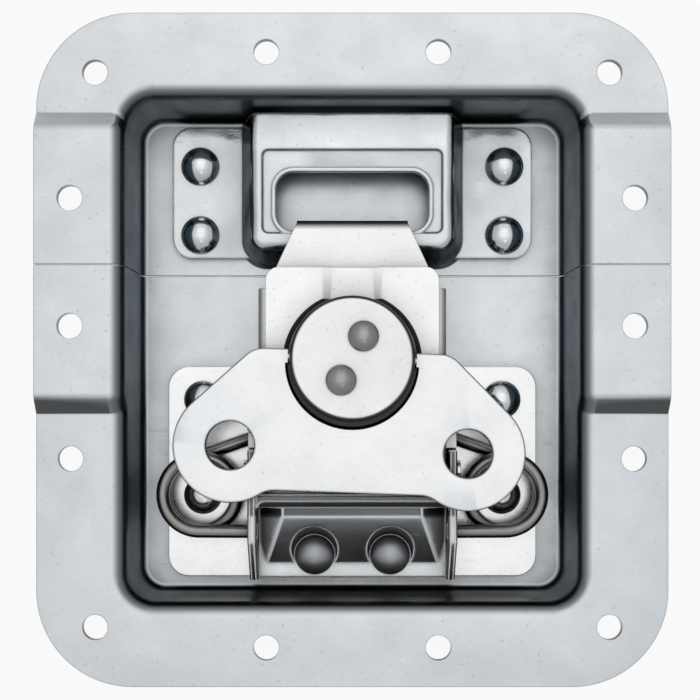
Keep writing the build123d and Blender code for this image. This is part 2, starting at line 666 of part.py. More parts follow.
def hook_plate():
    """The sliding hook: slotted for the cam lobe, bent down at its tip and at two rear ears."""
    blank = Polygon(
        (-HOOK_X, HOOK_EAR_Y),
        (-HOOK_X, HOOK_SHOULDER_Y),
        (-HOOK_NOSE_X, HOOK_NOSE_Y),
        (-HOOK_NOSE_X, HOOK_TIP_Y),
        (HOOK_NOSE_X, HOOK_TIP_Y),
        (HOOK_NOSE_X, HOOK_NOSE_Y),
        (HOOK_X, HOOK_SHOULDER_Y),
        (HOOK_X, HOOK_EAR_Y),
        align=None,
    )
    flat = plate(blank, HOOK_LIP_Z, HOOK_TOP_Z)
    side = [
        (HOOK_EAR_Y, HOOK_BACK_Z),
        (HOOK_TIP_Y - PLATE_SHEET, HOOK_BACK_Z),
        (HOOK_TIP_Y - PLATE_SHEET, HOOK_LIP_Z),
        (HOOK_TIP_Y, HOOK_LIP_Z),
        (HOOK_TIP_Y, HOOK_TOP_Z),
        (HOOK_EAR_Y, HOOK_TOP_Z),
    ]
    inside = HOOK_TIP_BEND - PLATE_SHEET
    body = flat & across(side, HOOK_X, {1: inside, 4: HOOK_TIP_BEND})
    front = [
        (-HOOK_NOSE_X, HOOK_LIP_Z),
        (HOOK_NOSE_X, HOOK_LIP_Z),
        (HOOK_NOSE_X, HOOK_TOP_Z),
        (-HOOK_NOSE_X, HOOK_TOP_Z),
    ]
    tongue = Polygon(*front, align=None)
    tongue = fillet(tongue.vertices().group_by(Axis.Y)[0], HOOK_LIP_CORNER)
    start = HOOK_TIP_Y - PLATE_SHEET - inside
    trim = slab(-HOOK_X, HOOK_X, start, HOOK_TIP_Y, HOOK_LIP_Z, HOOK_BACK_Z - inside)
    body -= trim - extrude(Plane.XZ * tongue, amount=DISH_LENGTH, both=True)
    web = Rectangle(2 * HOOK_WEB_X, HOOK_EAR_Y - HOOK_WEB_Y)
    web = Pos(0, (HOOK_EAR_Y + HOOK_WEB_Y) / 2) * fillet(web.vertices().group_by(Axis.Y)[0], PLATE_SHEET)
    body += plate(web, HOOK_BACK_Z, HOOK_TOP_Z)
    outer = HOOK_EAR_Y - PLATE_SHEET
    bend = [
        (outer, HOOK_EAR_Z),
        (HOOK_EAR_Y, HOOK_EAR_Z),
        (HOOK_EAR_Y, HOOK_TOP_Z),
        (outer, HOOK_TOP_Z),
    ]
    width = HOOK_X - HOOK_EAR_X
    ear = Pos((HOOK_X + HOOK_EAR_X) / 2, 0, 0) * across(bend, width / 2, {3: PLATE_SHEET * 0.9})
    body += both_sides(ear)
    length = 2 * (CAM_LOBE + LOBE_THROW + LOBE_SIDE_CLEARANCE)
    breadth = 2 * (CAM_LOBE + LOBE_END_CLEARANCE)
    body -= plate(Pos(0, LOBE_Y) * SlotOverall(length, breadth), HOOK_BACK_Z - 1, HOOK_TOP_Z + 1)
    return single(body)


def turned_key(shape):
    """Places a piece drawn about the cam axis, turned to the key's resting angle."""
    return Pos(0, CAM_Y, 0) * Rot(0, 0, KEY_ANGLE) * shape


def cam():
    """The cam: grooved head, journal, eccentric lobe and a staked spigot."""
    head = drill(0, 0, CAM_HEAD, CAM_HEAD_Z, CAM_TOP_Z)
    floor = KEY_MID_Z - CAM_GROOVE
    head -= slab(-CAM_HEAD, CAM_HEAD, -CAM_GROOVE, CAM_GROOVE, floor, CAM_TOP_Z)
    foot = CAP_TOP_Z - CAP_RIVET_DEPTH - CAP_SHEET - WASHER_CLEARANCE
    for side in (-1, 1):
        bore = CAP_RIVET_SHANK + WASHER_CLEARANCE
        head -= drill(side * CAP_RIVET_X, side * CAP_RIVET_Y, bore, foot, CAM_TOP_Z)
    body = turned_key(head)
    body += drill(0, CAM_Y, CAM_JOURNAL, CAM_LOBE_TOP_Z, CAM_HEAD_Z)
    body += drill(0, LOBE_Y, CAM_LOBE, CAM_WASHER_TOP_Z, CAM_LOBE_TOP_Z)
    foot = CAM_WASHER_TOP_Z - WASHER_SHEET
    body += drill(0, CAM_Y, CAM_SPIGOT, foot, CAM_WASHER_TOP_Z)
    body += drill(0, CAM_Y, CAM_STAKE, foot - CAM_STAKE_HEIGHT, foot)
    return single(body)


def cam_washer():
    """The washer staked under the cam that carries the hook plate."""
    low = CAM_WASHER_TOP_Z - WASHER_SHEET
    body = drill(0, CAM_Y, WASHER_RADIUS, low, CAM_WASHER_TOP_Z)
    return single(body - drill(0, CAM_Y, CAM_SPIGOT + WASHER_CLEARANCE, low - 1, CAM_WASHER_TOP_Z + 1))


def cam_cap():
    """The drawn cap over the cam, slotted at both sides for the key's trunnions."""
    cap = drill(0, 0, CAP_RADIUS, CAM_HEAD_Z, CAP_TOP_Z)
    cap = cap.fillet(CAP_SHOULDER, cap.edges().group_by(Axis.Z)[-1])
    cap -= drill(0, 0, CAP_RADIUS - CAP_SHEET, CAM_HEAD_Z, CAM_TOP_Z)
    cap -= slab(-CAP_RADIUS, CAP_RADIUS, -CAP_SLOT, CAP_SLOT, CAM_HEAD_Z, CAM_TOP_Z)
    for side in (-1, 1):
        bore = CAP_RIVET_SHANK + WASHER_CLEARANCE
        cap -= drill(side * CAP_RIVET_X, side * CAP_RIVET_Y, bore, CAM_HEAD_Z, CAP_TOP_Z + 1)
    return single(turned_key(cap))


def key_outline():
    """Half the key's outline on the +X side, as one closed face."""
    lobe = (KEY_LOBE_X, KEY_LOBE_Y)
    dx = KEY_LOBE_X - KEY_CORNER_X
    dy = KEY_LOBE_Y - KEY_TOP_Y
    gap = math.hypot(dx, dy)
    lean = math.atan2(dy, dx) + math.asin(KEY_LOBE / gap)
    reach = math.sqrt(gap * gap - KEY_LOBE * KEY_LOBE)
    touch = (KEY_CORNER_X + reach * math.cos(lean), KEY_TOP_Y + reach * math.sin(lean))
    rise = KEY_BOTTOM_Y - KEY_FILLET - KEY_LOBE_Y
    swing = math.sqrt((KEY_LOBE + KEY_FILLET) ** 2 - rise * rise)
    waist = KEY_LOBE_X - swing
    body = Polygon((0, KEY_LOBE_Y), lobe, touch, (KEY_CORNER_X, KEY_TOP_Y), (0, KEY_TOP_Y), align=None)
    corner = body.vertices().sort_by_distance((KEY_CORNER_X, KEY_TOP_Y))[0]
    body = fillet(corner, KEY_CORNER)
    body += Polygon((0, KEY_BOTTOM_Y), (waist, KEY_BOTTOM_Y), lobe, (0, KEY_LOBE_Y), align=None)
    body += Pos(*lobe) * Circle(KEY_LOBE)
    share = KEY_FILLET / (KEY_LOBE + KEY_FILLET)
    meet_x = waist + share * (KEY_LOBE_X - waist)
    meet_y = KEY_BOTTOM_Y - KEY_FILLET - share * rise
    body += Polygon((meet_x, meet_y), lobe, (waist, KEY_BOTTOM_Y), align=None)
    body -= Pos(waist, KEY_BOTTOM_Y - KEY_FILLET) * Circle(KEY_FILLET)
    return body


def butterfly_key():
    """The two-winged key: flat plate, finger holes, a cut-out for the cap and two trunnions."""
    face = key_outline()
    cut = Pos(0, KEY_CUT_Y) * Circle(KEY_CUT)
    below = KEY_CUT_STEP_Y - 2 * KEY_CUT
    window = Pos(0, (KEY_CUT_STEP_Y + below) / 2) * Rectangle(4 * KEY_CUT, KEY_CUT_STEP_Y - below)
    face -= cut & window
    top = KEY_TOP_Y + 1
    face -= Pos(0, (KEY_CUT_STEP_Y + top) / 2) * Rectangle(2 * KEY_TAB_X, top - KEY_CUT_STEP_Y)
    face -= Pos(KEY_LOBE_X, KEY_LOBE_Y) * Circle(KEY_FINGER_HOLE)
    low = KEY_MID_Z - KEY_SHEET / 2
    body = both_sides(plate(face, low, low + KEY_SHEET))
    rounded = []
    for edge in body.edges():
        ends = (edge @ 0, edge @ 0.5, edge @ 1)
        on_top = all(abs(p.Z - low - KEY_SHEET) < 1e-4 for p in ends)
        inside = all(abs(p.X) < KEY_CUT + 0.5 and p.Y > KEY_BOTTOM_Y / 2 - 1 for p in ends)
        if on_top and not inside:
            rounded.append(edge)
    body = body.fillet(KEY_EDGE, rounded)
    middle = (KEY_TRUNNION_IN + KEY_TRUNNION_OUT) / 2
    pin = Rot(0, 90, 0) * Cylinder(KEY_TRUNNION, KEY_TRUNNION_OUT - KEY_TRUNNION_IN)
    body += both_sides(Pos(middle, 0, KEY_MID_Z) * pin)
    return single(turned_key(body))


def spring():
    """The left torsion spring: a short coil with a leg on the hook's ear and one in the wall."""
    coil = Pos(-COIL_X, COIL_Y, COIL_START_Z) * Rot(0, 0, COIL_START_ANGLE)
    coil = coil * Helix(COIL_PITCH, COIL_PITCH * COIL_TURNS, COIL_MEAN)
    start = coil @ 0
    out = (coil % 0) * -1
    tip = start + out * ((-LEG_TIP_X - start.X) / out.X)
    end = coil @ 1
    on = coil % 1
    anchor = end + on * ((-LEG_ANCHOR_X - end.X) / on.X)
    path = Wire([Edge.make_line(tip, start), *coil.edges(), Edge.make_line(end, anchor)])
    section = Plane(origin=tip, z_dir=out * -1) * Circle(WIRE)
    return single(sweep(section, path=path, is_frenet=True))


# ---------------------------------------------------------------- the latch


def pieces():
    """Every piece of the latch under its node name."""
    upper, lower = dish_halves()
    parts = {"dish_upper": upper, "dish_lower": lower, "keeper": keeper(), "base_plate": base_plate()}
    for index, (x, y) in enumerate(KEEPER_RIVETS, 1):
        parts[f"keeper_rivet_{index}"] = floor_rivet(x, y, PLATE_TOP_Z, RIVET_HEAD)
    for index, (x, y) in enumerate(BASE_RIVETS, 1):
        parts[f"base_rivet_{index}"] = floor_rivet(x, y, PLATE_TOP_Z, RIVET_HEAD)
    for index, (x, y) in enumerate(BRACKET_RIVETS, 1):
        seat = PLATE_TOP_Z + PLATE_SHEET
        parts[f"bracket_rivet_{index}"] = floor_rivet(x, y, seat, BRACKET_RIVET_HEAD)
    parts["bracket"] = bracket()
    parts["hinge_pin"] = hinge_pin()
    parts["cover_plate"] = cover_plate()
    parts["hook_plate"] = hook_plate()
    parts["cam"] = cam()
    parts["cam_washer"] = cam_washer()
    parts["cam_cap"] = cam_cap()
    for index, side in enumerate((-1, 1), 1):
        rivet = cap_rivet(side * CAP_RIVET_X, side * CAP_RIVET_Y)
        parts[f"cap_rivet_{index}"] = single(turned_key(rivet))
    parts["butterfly_key"] = butterfly_key()
    left = spring()
    parts["spring_left"] = left
    parts["spring_right"] = single(mirror(left, about=Plane.YZ))
    return parts


os.makedirs("parts", exist_ok=True)
for name, shape in pieces().items():
    export_step(shape, f"parts/{name}.step")
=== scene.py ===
import math

import bpy
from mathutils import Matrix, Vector

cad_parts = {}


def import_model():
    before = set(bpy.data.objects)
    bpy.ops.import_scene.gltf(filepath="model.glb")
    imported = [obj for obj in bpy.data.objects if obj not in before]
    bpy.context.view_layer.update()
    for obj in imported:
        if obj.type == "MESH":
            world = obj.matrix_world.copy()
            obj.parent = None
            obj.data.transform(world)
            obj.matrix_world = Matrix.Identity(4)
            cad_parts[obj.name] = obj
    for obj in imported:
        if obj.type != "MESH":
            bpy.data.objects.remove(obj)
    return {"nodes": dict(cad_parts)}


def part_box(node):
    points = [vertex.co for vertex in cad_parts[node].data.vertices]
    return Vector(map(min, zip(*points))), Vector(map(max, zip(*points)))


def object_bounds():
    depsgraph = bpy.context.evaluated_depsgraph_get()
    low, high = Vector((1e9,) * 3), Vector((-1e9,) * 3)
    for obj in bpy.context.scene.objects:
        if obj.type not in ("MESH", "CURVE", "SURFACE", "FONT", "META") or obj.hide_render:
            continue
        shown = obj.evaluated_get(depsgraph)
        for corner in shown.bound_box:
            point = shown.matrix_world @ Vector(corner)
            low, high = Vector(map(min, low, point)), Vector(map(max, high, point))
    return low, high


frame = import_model()
cad_low, cad_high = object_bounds()
nodes = frame["nodes"]

MM = 0.001

# Scratches in the plating: direction in degrees, width, and scale of the noise that draws them.
SCRATCHES = ((18, 0.010, 45.0), (-63, 0.008, 38.0), (82, 0.007, 52.0))
# Near white colour of the painted highlight on open rounded edges.
PAINTED_HIGHLIGHT_TONE = (0.97, 0.975, 0.98)
SPLIT_ANGLE = 24

# Camera: lens in millimetres, framing shift, and its place above the part.
LENS = 61.92
SHIFT_X = -0.0033
SHIFT_Y = 0.107
EYE = (0.0, -12.46 * MM, 201.2 * MM)

FLOOR_HALF = 3.0
FLOOR_WHITE = 0.90

# Dome: tones from the side away from its top to the top itself, by the cosine of the angle between them.
WHITE = (1.0, 1.0, 1.0)
DOME_LOW = (0.43, 0.44, 0.45)
DOME_TONES = ((0.44, 0.47), (0.62, 0.51), (0.77, 0.59), (0.87, 0.72), (0.92, 0.84))
DOME_FULL = 0.965
DOME_LEAN = 8

# Glint: a bright round patch of the dome, by azimuth, height, and the radii of its soft rim, in degrees.
GLINT_AZIMUTH = -78
GLINT_HEIGHT = 60
GLINT_RIM = (8, 5)


# ---------------------------------------------------------------- node helpers


class Tree:
    """A small helper that adds and joins shader nodes."""

    def __init__(self, tree):
        self.tree = tree
        tree.nodes.clear()

    def add(self, kind, **settings):
        node = self.tree.nodes.new(kind)
        for key, value in settings.items():
            setattr(node, key, value)
        return node

    def put(self, socket, value):
        if isinstance(value, bpy.types.NodeSocket):
            self.tree.links.new(value, socket)
        elif socket.type == "RGBA" and len(value) == 3:
            socket.default_value = (*value, 1.0)
        else:
            socket.default_value = value

    def math(self, operation, a, b=0.0, clamp=False):
        node = self.add("ShaderNodeMath", operation=operation, use_clamp=clamp)
        self.put(node.inputs[0], a)
        self.put(node.inputs[1], b)
        return node.outputs[0]

    def vector(self, operation, a, b=(0, 0, 0)):
        node = self.add("ShaderNodeVectorMath", operation=operation)
        self.put(node.inputs[0], a)
        self.put(node.inputs[1], b)
        return node.outputs["Value" if operation in ("DOT_PRODUCT", "LENGTH") else "Vector"]

    def mix(self, factor, a, b):
        node = self.add("ShaderNodeMix", data_type="RGBA")
        self.put(node.inputs["Factor"], factor)
        self.put(node.inputs[6], a)
        self.put(node.inputs[7], b)
        return node.outputs[2]

    def blend(self, factor, first, second, kind):
        """Mixes two shaders and makes them the surface."""
        mixer = self.add("ShaderNodeMixShader")
        self.put(mixer.inputs[0], factor)
        self.put(mixer.inputs[1], first.outputs[0])
        self.put(mixer.inputs[2], second.outputs[0])
        self.put(self.add(kind).inputs["Surface"], mixer.outputs[0])

    def span(self, value, low, high, to_low=0.0, to_high=1.0):
        node = self.add("ShaderNodeMapRange")
        node.inputs["From Min"].default_value = low
        node.inputs["From Max"].default_value = high
        node.inputs["To Min"].default_value = to_low
        node.inputs["To Max"].default_value = to_high
        self.put(node.inputs["Value"], value)
        return node.outputs[0]

    def place(self, kind="Object"):
        """The point on the object, or with "Normal" the surface's direction in the object's own frame."""
        return self.add("ShaderNodeTexCoord").outputs[kind]

    def along(self, kind, axis):
        """One axis of the point or of the surface's direction."""
        parts = self.add("ShaderNodeSeparateXYZ")
        self.put(parts.inputs[0], self.place(kind))
        return parts.outputs[axis]

    def noise(self, scale, detail=3.0, rough=0.5, stretch=(1, 1, 1), turn=0.0, distort=0.0):
        mapping = self.add("ShaderNodeMapping")
        mapping.inputs["Scale"].default_value = stretch
        mapping.inputs["Rotation"].default_value = (0, 0, math.radians(turn))
        self.put(mapping.inputs["Vector"], self.place())
        node = self.add("ShaderNodeTexNoise")
        node.inputs["Scale"].default_value = scale
        node.inputs["Detail"].default_value = detail
        node.inputs["Roughness"].default_value = rough
        node.inputs["Distortion"].default_value = distort
        self.put(node.inputs["Vector"], mapping.outputs[0])
        return node.outputs[0]

    def scratches(self, turn, width, scale):
        """Thin straight marks along one direction, broken up by a wider noise."""
        lines = self.noise(scale, 2.0, 0.4, (0.35, 26.0, 1.0), turn)
        offset = self.math("ABSOLUTE", self.math("SUBTRACT", lines, 0.5))
        thin = self.span(offset, 0.0, width, 1.0, 0.0)
        breaks = self.span(self.noise(420.0, 2.0), 0.52, 0.62)
        return self.math("MULTIPLY", thin, breaks, True)

    def steep(self, low, high):
        """1 on walls that stand up from the sheet and 0 on faces that lie along it."""
        upright = self.math("ABSOLUTE", self.along("Normal", "Z"))
        return self.span(upright, low, high, 1.0, 0.0)

    def facing(self, low, high):
        """Goes from 0 to 1 as the surface's direction along Y goes from low to high."""
        return self.span(self.along("Normal", "Y"), low, high)

    def ridges(self):
        """1 on the rounded ridges of the ramp, whose normals lie between those of its flat faces. The painted
        highlight goes there.
        """
        across = self.math("ABSOLUTE", self.along("Normal", "X"))
        side = self.math("MULTIPLY", self.span(across, 0.14, 0.28), self.span(across, 0.60, 0.46))
        down = self.math("MULTIPLY", self.along("Normal", "Y"), -1.0)
        front = self.math("MULTIPLY", self.span(down, 0.22, 0.30), self.span(down, 0.52, 0.42))
        either = self.math("MAXIMUM", side, front)
        return self.math("MULTIPLY", either, self.span(self.along("Normal", "Z"), 0.60, 0.68))

    def inward(self):
        """1 on faces that look towards the middle of the dish and 0 on those that look outwards."""
        outward = self.vector("MULTIPLY", self.place(), (1, 1, 0))
        reach = self.vector("DOT_PRODUCT", self.place("Normal"), outward)
        return self.span(reach, 4.0 * MM, 1.0 * MM)

    def within(self, centre, radius):
        """1 inside an upright cylinder and 0 outside it."""
        offset = self.vector("SUBTRACT", self.place(), centre)
        length = self.vector("LENGTH", self.vector("MULTIPLY", offset, (1, 1, 0)))
        return self.span(length, radius, radius - 0.3 * MM)

    def dip(self, axis, start, end, strength, patchy):
        """Rises from 0 to strength along one axis of the object, broken up by a broad noise."""
        mask = self.span(self.along("Object", axis), start, end, 0.0, strength)
        if not patchy:
            return mask
        patches = self.span(self.noise(60.0, 2.0), 0.42, 0.60, 1 - patchy, 1.0)
        return self.math("MULTIPLY", mask, patches)

    def edges(self, radius, flat=0.985, sharp=0.80):
        """1 on a sharp edge and 0 on open faces, and the direction of the rounded surface."""
        bevel = self.add("ShaderNodeBevel", samples=8)
        bevel.inputs["Radius"].default_value = radius
        plain = self.add("ShaderNodeNewGeometry").outputs["Normal"]
        return self.span(self.vector("DOT_PRODUCT", bevel.outputs[0], plain), flat, sharp), bevel.outputs[0]

    def bump(self, height, normal, strength, distance):
        node = self.add("ShaderNodeBump")
        node.inputs["Strength"].default_value = strength
        node.inputs["Distance"].default_value = distance
        self.put(node.inputs["Height"], height)
        self.put(node.inputs["Normal"], normal)
        return node.outputs[0]


# ---------------------------------------------------------------- metal


def scaled(colour, factor, most=1.0):
    """A darker or lighter version of a colour."""
    return tuple(min(c * factor, most) for c in colour)


def plating(t, colour, cloud, scratch, tint):
    """Cloudy tone with scratches and specks. Returns it with its fine grain and its scratches."""
    broad = t.span(t.noise(55.0, 4.0, 0.55, distort=0.6), 0.35, 0.65)
    base = t.mix(broad, scaled(colour, 1 - cloud), scaled(colour, 1 + cloud, 0.97))
    if tint:
        base = t.mix(t.span(t.noise(24.0, 3.0), 0.45, 0.7, 0.0, 0.5), base, tint)
    fine = t.noise(900.0, 3.0, 0.7)
    base = t.mix(t.span(fine, 0.3, 0.75, 0.0, 0.16), base, scaled(colour, 0.72))
    marks = t.scratches(*SCRATCHES[0])
    for more in SCRATCHES[1:]:
        marks = t.math("ADD", marks, t.scratches(*more), True)
    base = t.mix(t.math("MULTIPLY", marks, scratch), base, scaled(colour, 1.22, 0.98))
    specks = t.span(t.noise(1500.0, 1.0), 0.70, 0.76)
    base = t.mix(t.math("MULTIPLY", specks, 0.35), base, scaled(colour, 0.45))
    return base, fine, marks


def painted(t, base, colour, wall_shade, side_shades, slope_shade, shade_bands, shade_disc):
    """Painted shade and painted light in the colour: tones for steep faces, for bands along an axis and for a round
    place.

    wall is the painted shade's tone and the range of steepness over which it comes in, and sides are its tones on
    faces
    that look towards +Y and -Y, painted lighter or darker by which way they face. slope is for sheet drawn into a
    recess:
    the painted shade's tone on faces that lean inwards, and that on gentle faces that look outwards and towards -Y.
    With it, the wall's tone keeps to faces that look inwards. dips are bands of painted shade along an axis, and disc
    is a round place painted in a tone of its own as painted shadow.
    """
    inside = None
    if slope_shade:
        inside = t.inward()
        inner, outer = slope_shade
        # Painted shade: faces that lean into the recess are painted darker.
        base = t.mix(t.math("MULTIPLY", t.steep(0.85, 0.995), inside), base, scaled(colour, inner))
        # Painted shade: gentle faces that look outwards and towards -Y are painted darker.
        turned = t.math("MULTIPLY", t.facing(-0.12, -0.30), t.math("SUBTRACT", 1.0, t.steep(0.5, 0.6)))
        outside = t.math("MULTIPLY", turned, t.math("SUBTRACT", 1.0, inside))
        base = t.mix(outside, base, scaled(colour, outer))
    # Painted shade on steep faces, made lighter or darker as painted light by whether they look towards +Y or -Y.
    if wall_shade:
        tone, low_z, high_z = wall_shade
        if side_shades:
            tone = t.mix(t.facing(0.2, 0.9), tone, side_shades[0])
            tone = t.mix(t.facing(-0.2, -0.9), tone, side_shades[1])
        mask = t.steep(low_z, high_z)
        if inside:
            mask = t.math("MULTIPLY", mask, inside)
        base = t.mix(mask, base, tone)
    # Painted shade: bands along one axis of the object are painted darker.
    for axis, start, end, tone, strength, patchy in shade_bands:
        base = t.mix(t.dip(axis, start, end, strength, patchy), base, tone)
    # Painted shadow: a round place is painted in its own tone, near black on the cover.
    if shade_disc:
        centre, radius, tone = shade_disc
        base = t.mix(t.within(centre, radius), base, tone)
    return base


def metal(
    name,
    colour,
    rough,
    cloud=0.08,
    scratch=0.35,
    grain=0.0,
    edge=0.35,
    bump=0.03,
    tint=None,
    shade=0.8,
    reach=5 * MM,
    soft=0.22 * MM,
    wall_shade=None,
    side_shades=None,
    slope_shade=None,
    shade_bands=(),
    shade_disc=None,
    painted_highlight=0.0,
    glow_width=0.5 * MM,
    glow_open=(0.40, 0.75),
    ridges=False,
    slope_rough=0.0,
    rounding=0.0,
    wave=0.0,
):
    """Plated sheet: cloudy tone, fine scratches and specks, a darker line on sheared edges, and painted shade and a
    painted highlight in its colour.

    cloud, scratch, grain, edge and bump say how strong each of these is, and tint is a second tone in broad patches.
    shade and reach set the painted shade that ambient occlusion puts into hollows, and soft is the width of the
    sheared edge. glow is the strength of a painted highlight on rounded edges where the surface is open, and ridges
    adds the ramp's ridges to them. slope_rough dulls slopes. rounding rounds edges in the shading more widely than
    soft, and wave is the height of a gentle swell in it. The rest goes to painted(), which paints shade and light into
    the colour.
    """
    made = bpy.data.materials.new(name)
    made.use_nodes = True
    t = Tree(made.node_tree)
    shader = t.add("ShaderNodeBsdfPrincipled")
    shader.inputs["Metallic"].default_value = 1.0
    t.put(t.add("ShaderNodeOutputMaterial").inputs["Surface"], shader.outputs[0])

    base, fine, marks = plating(t, colour, cloud, scratch, tint)
    rim, rounded = t.edges(soft)
    if rounding:
        rounded = t.edges(rounding)[1]
    base = t.mix(t.math("MULTIPLY", rim, edge), base, scaled(colour, 0.25))
    base = painted(t, base, colour, wall_shade, side_shades, slope_shade, shade_bands, shade_disc)
    # Painted shade: ambient occlusion darkens the colour towards a near black copy in hollows, corners and between
    # parts.
    hollow = t.add("ShaderNodeAmbientOcclusion", samples=6)
    hollow.inputs["Distance"].default_value = reach
    base = t.mix(t.math("POWER", hollow.outputs["AO"], shade), scaled(colour, 0.06), base)

    polish = t.span(t.noise(160.0, 3.0), 0.3, 0.7, rough * 0.85, rough * 1.18)
    polish = t.math("ADD", polish, t.math("MULTIPLY", marks, 0.10))
    if slope_rough:
        polish = t.math("ADD", polish, t.math("MULTIPLY", t.steep(0.70, 0.97), slope_rough))
    # Painted highlight: open rounded edges and ridges are painted near white, made rougher and given normals tilted
    # upwards.
    if painted_highlight:
        crest = t.edges(glow_width, 0.993, 0.94)[0]
        if ridges:
            crest = t.math("MAXIMUM", crest, t.ridges())
        highlight_mask = t.math("MULTIPLY", crest, t.span(hollow.outputs["AO"], *glow_open))
        base = t.mix(t.math("MULTIPLY", highlight_mask, painted_highlight), base, PAINTED_HIGHLIGHT_TONE)
        polish = t.math("ADD", polish, t.math("MULTIPLY", highlight_mask, 0.55 * painted_highlight))
        raised = t.add("ShaderNodeCombineXYZ")
        t.put(raised.inputs["Z"], t.math("MULTIPLY", highlight_mask, 1.5 * painted_highlight))
        rounded = t.vector("NORMALIZE", t.vector("ADD", rounded, raised.outputs[0]))
    if wave:
        rounded = t.bump(t.noise(150.0, 1.0, 0.4), rounded, 1.0, wave)
    height = t.math("ADD", t.math("MULTIPLY", fine, 0.5 + grain), t.math("MULTIPLY", marks, -0.6))

    t.put(shader.inputs["Base Color"], base)
    t.put(shader.inputs["Roughness"], polish)
    t.put(shader.inputs["Normal"], t.bump(height, rounded, bump, 0.2 * MM))
    return made


# ---------------------------------------------------------------- finishes

keeper_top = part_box("keeper")[1].z
bracket_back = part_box("bracket")[0].y
cap_low, cap_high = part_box("cam_cap")
cap_middle = (cap_low + cap_high) / 2

# The sunk seat round the cap lies a little in front of the cap's middle. Inside DIAL_RADIUS of it the cover is painted
# near black as painted shadow.
dial_middle = (cap_middle.x, cap_middle.y - 0.8 * MM, 0)
DIAL_RADIUS = 11.2 * MM

# Depths of the keeper's sunk panel under its top, across which the panel is painted darker as painted shade, and how
# far the ramp begins from the bracket's end, past which the bracket is painted dark as painted shade.
PANEL_DEPTHS = (0.35 * MM, 0.55 * MM)
RAMP_START = (11.3 * MM, 11.7 * MM)

ZINC_DISH = metal(
    "zinc_dish",
    (0.74, 0.765, 0.785),
    0.30,
    cloud=0.05,
    scratch=0.10,
    grain=0.4,
    edge=0.25,
    bump=0.05,
    tint=(0.66, 0.71, 0.76),
    shade=0.45,
    reach=9 * MM,
    # Painted shade: steep faces that look into the dish are painted dark, near black towards +Y and less dark towards
    # -Y; faces that lean into the dish and gentle faces that look outwards and towards -Y are painted darker too.
    wall_shade=((0.062, 0.092, 0.114), 0.60, 0.84),
    side_shades=((0.007, 0.009, 0.010), (0.13, 0.145, 0.155)),
    slope_shade=(0.42, 0.20),
)
ZINC_KEY = metal(
    "zinc_key",
    (0.93, 0.945, 0.96),
    0.27,
    cloud=0.04,
    scratch=0.45,
    edge=0.6,
    bump=0.05,
    # Painted shade: the key's steep faces are painted darker.
    wall_shade=((0.20, 0.21, 0.22), 0.45, 0.85),
)
ZINC_COVER = metal(
    "zinc_cover",
    (0.985, 0.99, 0.985),
    0.26,
    cloud=0.02,
    scratch=0.40,
    edge=0.6,
    bump=0.05,
    shade=1.0,
    # Painted shade: steep faces are painted darker, and the sunk seat round the cap is painted near black as painted
    # shadow.
    wall_shade=((0.30, 0.31, 0.32), 0.20, 0.55),
    shade_disc=(dial_middle, DIAL_RADIUS, (0.007, 0.007, 0.008)),
    slope_rough=0.25,
)
ZINC_HOOK = metal(
    "zinc_hook",
    (0.975, 0.975, 0.965),
    0.30,
    cloud=0.03,
    scratch=0.40,
    edge=0.4,
    bump=0.05,
    shade=1.0,
    # Painted shade: the hook's steep faces are painted dark.
    wall_shade=((0.10, 0.105, 0.11), 0.70, 0.97),
    slope_rough=0.20,
)
ZINC_CAP = metal(
    "zinc_cap",
    (0.91, 0.91, 0.905),
    0.28,
    cloud=0.04,
    scratch=0.40,
    edge=0.5,
    bump=0.05,
    shade=1.3,
    reach=4 * MM,
    # Painted shade: the cap's steep and sloped faces are painted dark.
    wall_shade=((0.085, 0.088, 0.092), 0.88, 0.985),
)
ZINC_BASE = metal(
    "zinc_base",
    (0.995, 0.997, 0.995),
    0.24,
    cloud=0.01,
    scratch=0.30,
    edge=0.5,
    bump=0.05,
    shade=0.2,
    reach=4 * MM,
)
ZINC_KEEPER = metal(
    "zinc_keeper",
    (0.77, 0.795, 0.815),
    0.17,
    cloud=0.06,
    scratch=0.25,
    grain=0.9,
    edge=0.05,
    bump=0.10,
    shade=0.7,
    reach=6 * MM,
    soft=0.3 * MM,
    # Painted shade: steep faces are painted near black and the sunk panel darker in patches; glow puts a painted
    # highlight on open rounded edges.
    wall_shade=((0.020, 0.027, 0.036), 0.45, 0.72),
    shade_bands=(("Z", keeper_top - PANEL_DEPTHS[0], keeper_top - PANEL_DEPTHS[1], (0.34, 0.36, 0.38), 0.5, 0.9),),
    painted_highlight=0.7,
    rounding=0.6 * MM,
    wave=0.6 * MM,
)
ZINC_BRACKET = metal(
    "zinc_bracket",
    (0.74, 0.755, 0.765),
    0.20,
    cloud=0.10,
    scratch=0.25,
    grain=0.9,
    edge=0.05,
    bump=0.10,
    shade=1.0,
    reach=4 * MM,
    soft=0.3 * MM,
    # Painted shade: steep faces are painted darker and the bracket is painted dark past the ramp's start; glow puts a
    # painted highlight on open rounded edges and the ramp's ridges.
    wall_shade=((0.22, 0.23, 0.24), 0.35, 0.70),
    shade_bands=(("Y", bracket_back + RAMP_START[0], bracket_back + RAMP_START[1], (0.085, 0.09, 0.095), 0.85, 0.0),),
    painted_highlight=1.0,
    glow_width=0.6 * MM,
    glow_open=(0.02, 0.20),
    ridges=True,
    slope_rough=0.25,
    rounding=1.0 * MM,
)
RIVET = metal(
    "rivet",
    (0.86, 0.875, 0.89),
    0.12,
    scratch=0.20,
    grain=0.3,
    edge=0.2,
    bump=0.06,
    shade=0.4,
    reach=3 * MM,
)
RIVET_GREY = metal(
    "rivet_grey",
    (0.52, 0.53, 0.545),
    0.42,
    cloud=0.12,
    scratch=0.20,
    grain=0.5,
    edge=0.2,
    bump=0.08,
    shade=0.5,
    reach=3 * MM,
)
